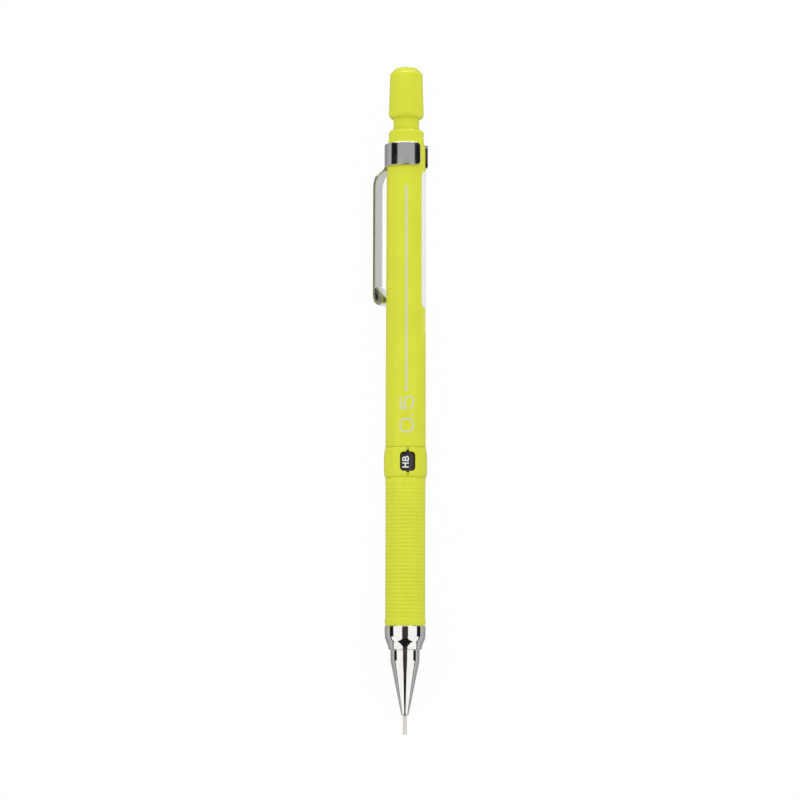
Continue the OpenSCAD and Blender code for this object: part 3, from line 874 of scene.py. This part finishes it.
# ---------------------------------------------------------------- tip
CONE_LENGTH = 11.5
CONE_BASE_R = 3.07
BASE_LENGTH = 2.3
BELL_R = 4.345
THREAD_PITCH = 0.75
THREAD_DEPTH = 0.28
THREAD_STEPS = 72
LEAD_WAY_R = 0.34
PIPE_BORE_R = 0.30
screw_front = grip_front + 0.45


def screw_ripple(x, angle):
    """The screw's groove, which starts and ends gently."""
    start, end = grip_front + 0.5, screw_end - 0.5
    if not start < x < end:
        return 0
    ends = min((x - start) / 0.3, (end - x) / 0.3, 1)
    phase = (x / THREAD_PITCH + angle / TURN) % 1
    return -THREAD_DEPTH * ends * (1 - abs(2 * phase - 1))


def build_tip():
    """The tip: nose cone, straight base, a step, the flared bell and the screw behind it."""
    base = nose + CONE_LENGTH
    step = base + BASE_LENGTH
    chamber_front_r = ring_chamber_r - 0.32
    nose_part = softened([
        (nose, pipe_root_r + CLOSE), (nose, 0.68, 0.12), (nose + 0.5, 0.84, 0.2),
        (base, CONE_BASE_R, 0.06), (step - 0.12, CONE_BASE_R + 0.02, 0.05),
        (step - 0.05, CONE_BASE_R - 0.06), (step, CONE_BASE_R + 0.02, 0.03),
        (step + 0.06, CONE_BASE_R + 0.14),
    ])
    bell = curve_through([
        (step + 0.08, CONE_BASE_R + 0.27),
        (step + 0.14, BELL_R - 0.85),
        (step + 0.28, BELL_R - 0.805),
        (step + 0.6, BELL_R - 0.745),
        (step + 0.9, BELL_R - 0.675),
        (step + 1.2, BELL_R - 0.585),
        (step + 1.5, BELL_R - 0.475),
        (step + 1.72, BELL_R - 0.375),
        (step + 1.9, BELL_R - 0.285),
        (step + 2.1, BELL_R - 0.21),
        (step + 2.4, BELL_R - 0.125),
        (step + 2.7, BELL_R - 0.068),
        (step + 3.0, BELL_R - 0.034),
        (step + 3.4, BELL_R - 0.012),
        (step + 4.0, BELL_R - 0.002),
        (step + 4.6, BELL_R),
    ])
    rear = softened([
        (grip_front - 0.3, BELL_R), (grip_front - 0.05, BELL_R - 0.01, 0.08),
        (grip_front - 0.05, screw_r - 0.02), (screw_front, screw_r - 0.02),
    ])
    screw = [(screw_front + (screw_end - 0.4 - screw_front) * k / THREAD_STEPS, screw_r)
             for k in range(1, THREAD_STEPS)]
    inside = [
        (screw_end - 0.35, screw_r),
        (screw_end, screw_r - 0.3),
        (screw_end, ring_chamber_r + 0.3),
        (sleeve_front - 0.5, ring_chamber_r + 0.3),
        (sleeve_front - 0.5, ring_chamber_r),
        (ring_stop, ring_chamber_r),
        (ring_stop, chamber_front_r),
        (retainer_rear, chamber_front_r),
        (retainer_rear, retainer_r),
        (retainer_front, retainer_r),
        (retainer_front, LEAD_WAY_R),
        (pipe_end + CLOSE, LEAD_WAY_R),
        (pipe_end + CLOSE, pipe_root_r + CLOSE),
    ]
    body = lathe("tip_body", nose_part + bell + rear + screw + inside, 192, screw_ripple)
    return put(body, "tip", "tip_chrome", chrome, "tip_cone")


def build_pipe():
    """The guide pipe, with its thicker root in the nose."""
    outline = softened([
        (0, PIPE_BORE_R, 0.03), (0, pipe_r, 0.13), (nose - 0.25, pipe_r),
        (nose - 0.04, pipe_r + 0.01, 0.05), (nose - 0.02, pipe_root_r, 0.03),
        (pipe_end, pipe_root_r), (pipe_end, PIPE_BORE_R),
    ], closed=True)
    pipe = lathe("tip_pipe", outline, 64)
    return put(pipe, "tip", "pipe_steel", steel, "guide_pipe")


# ---------------------------------------------------------------- cap, neck and eraser
def build_cap():
    """The push cap, which widens a little towards its mouth and has a bevelled top."""
    top_r = cap_mouth_r - 0.27
    room_r = eraser_r + 0.25
    outline = softened([
        (cap_front, neck_r + 0.02, 0.04),
        (cap_front, cap_mouth_r - 0.5, 0.1),
        (cap_front + 0.55, cap_mouth_r - 0.02, 0.35),
        (cap_rear - 3.5, top_r + 0.03, 0.8),
        (cap_rear - 1.45, top_r, 0.3),
        (cap_rear - 0.28, top_r - 1.15, 0.3),
        (cap_rear - 0.03, top_r - 2.2, 0.5),
        (cap_rear, 0),
    ])
    hollow = [
        (eraser_rear + 0.4, 0),
        (eraser_rear + 0.4, room_r),
        (neck_rear + 0.2, room_r),
        (neck_rear + 0.2, neck_r + 0.015),
    ]
    cap = lathe("cap_shell", outline + hollow)
    return put(cap, "push_cap", "cap_plastic", lime_cap, "push_cap")


def build_neck():
    """The sleeve that holds the eraser and shows between the barrel and the cap."""
    outline = softened([
        (neck_front, tank_r + CLOSE, 0), (neck_front, neck_r, 0.15),
        (neck_rear, neck_r, 0.2), (neck_rear, eraser_r + CLOSE, 0.1),
        (tank_rear + CLOSE, eraser_r + CLOSE), (tank_rear + CLOSE, tank_r + CLOSE),
    ], closed=True)
    sleeve = lathe("neck_sleeve", outline)
    return put(sleeve, "push_button", "cap_plastic", lime_cap, "eraser_holder")


def build_eraser():
    """The eraser under the cap, with a rounded rear rim."""
    outline = softened([
        (eraser_front, 0), (eraser_front, eraser_r, 0.1),
        (eraser_rear, eraser_r - 0.02, 0.45), (eraser_rear, 0),
    ])
    plug = lathe("eraser_plug", outline, 96)
    return put(plug, "push_button", "eraser_rubber", vinyl, "eraser")


# ---------------------------------------------------------------- CAD nodes that stay
def finish_cad_nodes():
    """The inner pieces keep their CAD meshes and get their own materials."""
    finishes = {
        "lead_retainer": rubber, "working_lead": graphite, "spare_leads": graphite,
        "chuck_jaw_1": brass, "chuck_jaw_2": brass, "chuck_jaw_3": brass,
        "chuck_stem": brass, "chuck_ring": brass, "chuck_sleeve": natural,
        "return_spring": spring, "tank_joint": natural, "lead_tank": natural,
    }
    for node, material in finishes.items():
        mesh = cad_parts[node].data
        mesh.materials.clear()
        mesh.materials.append(material)


# ---------------------------------------------------------------- stage, light and camera
FLOOR_Z = cad_low.z / MM
DARK = 0.012
BROWN = (1.0, 0.72, 0.6)


def empty_tree(owner):
    """Node tree of a material or a world, with no nodes in it."""
    owner.use_nodes = True
    owner.node_tree.nodes.clear()
    return owner.node_tree


def card(name, corners, strength, tint=(1, 1, 1)):
    """Flat card that shows only in reflections, given by its corners in mm."""
    mesh = bpy.data.meshes.new(name)
    mesh.from_pydata([tuple(Vector(c) * MM) for c in corners], [], [(0, 1, 2, 3)])
    sheet = linked(name, mesh)
    material = bpy.data.materials.new(name)
    tree = empty_tree(material)
    glow = tree.nodes.new("ShaderNodeEmission")
    glow.inputs["Color"].default_value = (*tint, 1)
    glow.inputs["Strength"].default_value = strength
    output = tree.nodes.new("ShaderNodeOutputMaterial")
    tree.links.new(glow.outputs["Emission"], output.inputs["Surface"])
    mesh.materials.append(material)
    sheet.visible_camera = False
    sheet.visible_diffuse = False
    sheet.visible_shadow = False
    sheet.visible_transmission = False
    sheet.visible_volume_scatter = False


def level_card(name, x0, x1, y0, y1, z, strength, tint=(1, 1, 1)):
    """Card at one height, over a stretch of X and Y."""
    card(name, [(x0, y0, z), (x1, y0, z), (x1, y1, z), (x0, y1, z)], strength, tint)


def side_card(name, x0, x1, y, z0, z1, strength):
    """Upright card along X, at one distance to the side."""
    card(name, [(x0, y, z0), (x1, y, z0), (x1, y, z1), (x0, y, z1)], strength)


def build_cards():
    """Dark flags in front of the bright surroundings, which draw the stripes on the metal."""
    high = 300
    gap = 80
    border = gap + 16
    fork = -115
    far = fork - 300
    far_gap = gap + 260
    cone_rear = 13.6
    level_card("flag_overhead", fork, 170, -gap, gap, high, 0.05, BROWN)
    level_card("flag_border", fork, 170, -border, border, high + 2, 0.28, BROWN)
    card("flag_wedge", [(fork, -gap, high), (fork, gap, high), (far, far_gap, high),
                        (far, -far_gap, high)], DARK)
    card("flag_front", [(far, -far_gap, FLOOR_Z), (far, far_gap, FLOOR_Z), (far, far_gap, high),
                        (far, -far_gap, high)], DARK)
    for side, label in ((1, "left"), (-1, "right")):
        side_card(f"flag_side_{label}", cone_rear, 90, 40 * side, -2, 17.5, DARK)
        side_card(f"flag_low_{label}", -60, cone_rear, 40 * side, -1, 5.5, DARK)
    side_card("flag_band_left", 100, 230, 120, 11, 112, DARK)
    side_card("flag_band_right", 100, 230, -120, 4, 118, DARK)
    side_card("grey_left", 100, 230, 121, FLOOR_Z, 11, 0.5)
    level_card("grey_overhead", 125, 330, -170, 170, 150, 0.5)
    level_card("bright_floor", 96, 121, -16, 16, FLOOR_Z + 0.01, 0.72)
    level_card("bright_hook", 86, 96, -16, 5.2, FLOOR_Z + 0.01, 0.9)
    card("bright_rear", [(420, -300, 0), (420, 300, 0), (420, 300, 260), (420, -300, 260)], 6.0)


def light_path_share(tree, camera_share, glossy_share):
    """A value that is camera_share on camera rays, and glossy_share on mirror rays."""
    path = tree.nodes.new("ShaderNodeLightPath")
    seen = tree.nodes.new("ShaderNodeMath")
    seen.operation = "MULTIPLY"
    seen.inputs[1].default_value = camera_share
    tree.links.new(path.outputs["Is Camera Ray"], seen.inputs[0])
    mirrored = tree.nodes.new("ShaderNodeMath")
    mirrored.operation = "MAXIMUM"
    tree.links.new(path.outputs["Is Glossy Ray"], mirrored.inputs[0])
    tree.links.new(path.outputs["Is Transmission Ray"], mirrored.inputs[1])
    scaled = tree.nodes.new("ShaderNodeMath")
    scaled.operation = "MULTIPLY_ADD"
    scaled.inputs[1].default_value = glossy_share
    tree.links.new(mirrored.outputs[0], scaled.inputs[0])
    tree.links.new(seen.outputs[0], scaled.inputs[2])
    return scaled.outputs[0]


# Grey of the mirrored floor, with a painted shadow beside the holder, as (distance to the side as a
# share of the reach, grey)
FLOOR_SHADOW_TONES = ((0.07, 0.3), (0.15, 0.34), (0.32, 0.45), (0.85, 0.6))
FLOOR_SHADOW_REACH = 0.06


def mirrored_floor_shadow(tree):
    """Grey of the floor in mirrors, a painted shadow: dark beside the holder, lighter away from it.
    """
    place = tree.nodes.new("ShaderNodeTexCoord")
    split = tree.nodes.new("ShaderNodeSeparateXYZ")
    away = tree.nodes.new("ShaderNodeMath")
    away.operation = "ABSOLUTE"
    ramp = tree.nodes.new("ShaderNodeValToRGB")
    scaled = tree.nodes.new("ShaderNodeMapRange")
    scaled.inputs["From Max"].default_value = FLOOR_SHADOW_REACH
    stops = ramp.color_ramp.elements
    for stop, (position, tone) in zip(stops, (FLOOR_SHADOW_TONES[0], FLOOR_SHADOW_TONES[-1])):
        stop.position = position
        stop.color = (tone, tone, tone, 1)
    for position, tone in FLOOR_SHADOW_TONES[1:-1]:
        stops.new(position).color = (tone, tone, tone, 1)
    tree.links.new(place.outputs["Object"], split.inputs["Vector"])
    tree.links.new(split.outputs["Y"], away.inputs[0])
    tree.links.new(away.outputs[0], scaled.inputs["Value"])
    tree.links.new(scaled.outputs["Result"], ramp.inputs["Fac"])
    return ramp.outputs["Color"]


FLOOR_SIZE = 3.0
FLOOR_CAMERA_SHARE = 0.975


def build_floor():
    """Plain white floor, which is even for the camera, grey with a painted shadow in mirrors and matt
    for light.
    """
    corners = [(x * FLOOR_SIZE, y * FLOOR_SIZE, cad_low.z)
               for x, y in ((-1, -1), (1, -1), (1, 1), (-1, 1))]
    mesh = bpy.data.meshes.new("floor")
    mesh.from_pydata(corners, [], [(0, 1, 2, 3)])
    linked("floor", mesh)
    material = bpy.data.materials.new("floor_white")
    tree = empty_tree(material)
    matte = tree.nodes.new("ShaderNodeBsdfDiffuse")
    matte.inputs["Color"].default_value = (0.9, 0.9, 0.9, 1)
    seen = tree.nodes.new("ShaderNodeEmission")
    seen.inputs["Color"].default_value = (1, 1, 1, 1)
    mirrored = tree.nodes.new("ShaderNodeEmission")
    tree.links.new(mirrored_floor_shadow(tree), mirrored.inputs["Color"])
    first = tree.nodes.new("ShaderNodeMixShader")
    second = tree.nodes.new("ShaderNodeMixShader")
    output = tree.nodes.new("ShaderNodeOutputMaterial")
    tree.links.new(light_path_share(tree, FLOOR_CAMERA_SHARE, 0.0), first.inputs["Fac"])
    tree.links.new(matte.outputs["BSDF"], first.inputs[1])
    tree.links.new(seen.outputs["Emission"], first.inputs[2])
    tree.links.new(light_path_share(tree, 0.0, 1.0), second.inputs["Fac"])
    tree.links.new(first.outputs["Shader"], second.inputs[1])
    tree.links.new(mirrored.outputs["Emission"], second.inputs[2])
    tree.links.new(second.outputs["Shader"], output.inputs["Surface"])
    mesh.materials.append(material)


WORLD_LIGHT = 0.76


def build_world():
    """Even white surroundings, full where they are seen or mirrored, weaker where they light."""
    world = bpy.data.worlds.new("studio")
    bpy.context.scene.world = world
    tree = empty_tree(world)
    seen = tree.nodes.new("ShaderNodeBackground")
    seen.inputs["Color"].default_value = (1, 1, 1, 1)
    seen.inputs["Strength"].default_value = 1.0
    lighting = tree.nodes.new("ShaderNodeBackground")
    lighting.inputs["Color"].default_value = (1, 1, 1, 1)
    lighting.inputs["Strength"].default_value = WORLD_LIGHT
    mix = tree.nodes.new("ShaderNodeMixShader")
    output = tree.nodes.new("ShaderNodeOutputWorld")
    tree.links.new(light_path_share(tree, 1.0, 1.0), mix.inputs["Fac"])
    tree.links.new(lighting.outputs["Background"], mix.inputs[1])
    tree.links.new(seen.outputs["Background"], mix.inputs[2])
    tree.links.new(mix.outputs["Shader"], output.inputs["Surface"])


LAMP_SIZE = 0.35


def soft_lamp(name, place, power):
    """Square area lamp that shines on the middle of the holder, and isn't seen in mirrors."""
    data = bpy.data.lights.new(name, "AREA")
    data.energy = power
    data.size = LAMP_SIZE
    lamp = linked(name, data)
    aim = Vector(((grip_front + tail) / 2 * MM, 0, 0))
    lamp.location = place
    lamp.rotation_euler = (aim - Vector(place)).to_track_quat("-Z", "Y").to_euler()
    lamp.visible_glossy = False


def build_lamps():
    """Two side lamps and one behind the push cap, with places in metres and power in watts."""
    soft_lamp("lamp_left", (0.1, 0.5, 0.4), 0.55)
    soft_lamp("lamp_right", (0.1, -0.5, 0.4), 0.55)
    soft_lamp("lamp_rear", (0.6, 0.0, 0.35), 0.6)


# Camera's place and aim in mm, its roll in radians and its lens on a 36 mm sensor
CAMERA_X = 17.8
CAMERA_HEIGHT = 590
AIM_X = 71.0
AIM_Y = 1.205
CAMERA_ROLL = 0.00255
CAMERA_LENS = 124.75
SENSOR_WIDTH = 36


def build_camera():
    """Overhead, above the tip's bell, so that the holder's rear end is seen a little aslant."""
    place = Vector((CAMERA_X, AIM_Y, CAMERA_HEIGHT)) * MM
    forward = (Vector((AIM_X, AIM_Y, 0)) * MM - place).normalized()
    up = Vector((math.cos(CAMERA_ROLL), math.sin(CAMERA_ROLL), 0))
    right = forward.cross(up).normalized()
    up = right.cross(forward)
    data = bpy.data.cameras.new("camera")
    data.lens = CAMERA_LENS
    data.sensor_width = SENSOR_WIDTH
    data.clip_start = 0.01
    camera = linked("camera", data)
    turn = Matrix((right, up, -forward)).transposed().to_4x4()
    camera.matrix_world = Matrix.Translation(place) @ turn
    bpy.context.scene.camera = camera


# ---------------------------------------------------------------- the whole scene
build_barrel()
build_window_ring()
build_film()
build_grades()
build_print()
build_label()
build_clip()
build_tip()
build_pipe()
build_cap()
build_neck()
build_eraser()
finish_cad_nodes()
build_floor()
build_world()
build_cards()
build_lamps()
build_camera()
bpy.context.scene.view_settings.view_transform = "Standard"
